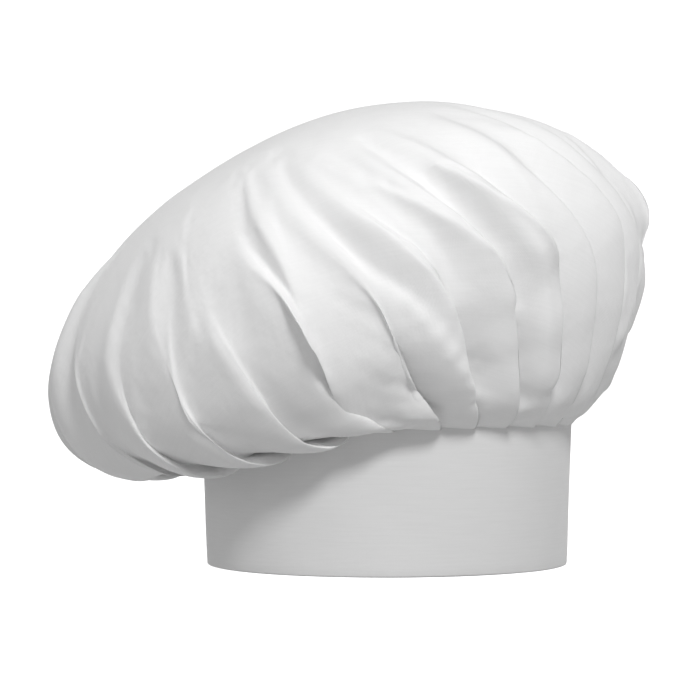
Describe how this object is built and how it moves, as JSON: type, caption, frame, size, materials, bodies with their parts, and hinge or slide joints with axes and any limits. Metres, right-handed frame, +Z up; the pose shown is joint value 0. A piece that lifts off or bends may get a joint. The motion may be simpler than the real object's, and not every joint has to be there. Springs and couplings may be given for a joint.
{
  "type": "chef toque",
  "caption": "White cloth chef hat: a stiffened cylindrical band, a hook-and-loop size tab at the back, and a full pleated crown that flops to one side.",
  "frame": {"origin": "middle of the band's bottom rim, in the rim's plane", "axes": "+Z up through the band, -Y to the front that the picture shows, +Y to the closure at the back, and -X to the side that the crown flops to"},
  "size_m": [0.3214, 0.302, 0.2435],
  "materials": {
    "band_poplin": "matte",
    "crown_poplin": "matte",
    "interlining": "matte",
    "hook_tape": "matte",
    "loop_tape": "matte",
    "label_satin": "satin",
    "thread": "matte"
  },
  "bodies": {
    "band": {"band_outer": "band_poplin", "band_inner": "band_poplin", "band_interlining": "interlining", "crown_root": "crown_poplin", "vent_binding": "band_poplin", "care_label": "label_satin", "seam_stitching": "thread", "hook_tape": "hook_tape", "hook_tape_stitching": "thread"},
    "closure_tab": {"tab_outer": "band_poplin", "tab_interlining": "interlining", "tab_inner": "band_poplin", "tab_stitching": "thread", "loop_tape": "loop_tape", "loop_tape_stitching": "thread"},
    "crown": {"crown_puff": "crown_poplin"}
  },
  "joints": [
    {"name": "crown_flop", "type": "hinge", "parent": "band", "child": "crown", "pos_m": [0, 0, 0.075], "axis": [0, 1, 0], "range_deg": [-6, 20]},
    {"name": "tab_peel", "type": "hinge", "parent": "band", "child": "closure_tab", "pos_m": [0.005, 0.0984, 0.029], "axis": [0, 0, -1], "range_deg": [0, 150]}
  ]
}
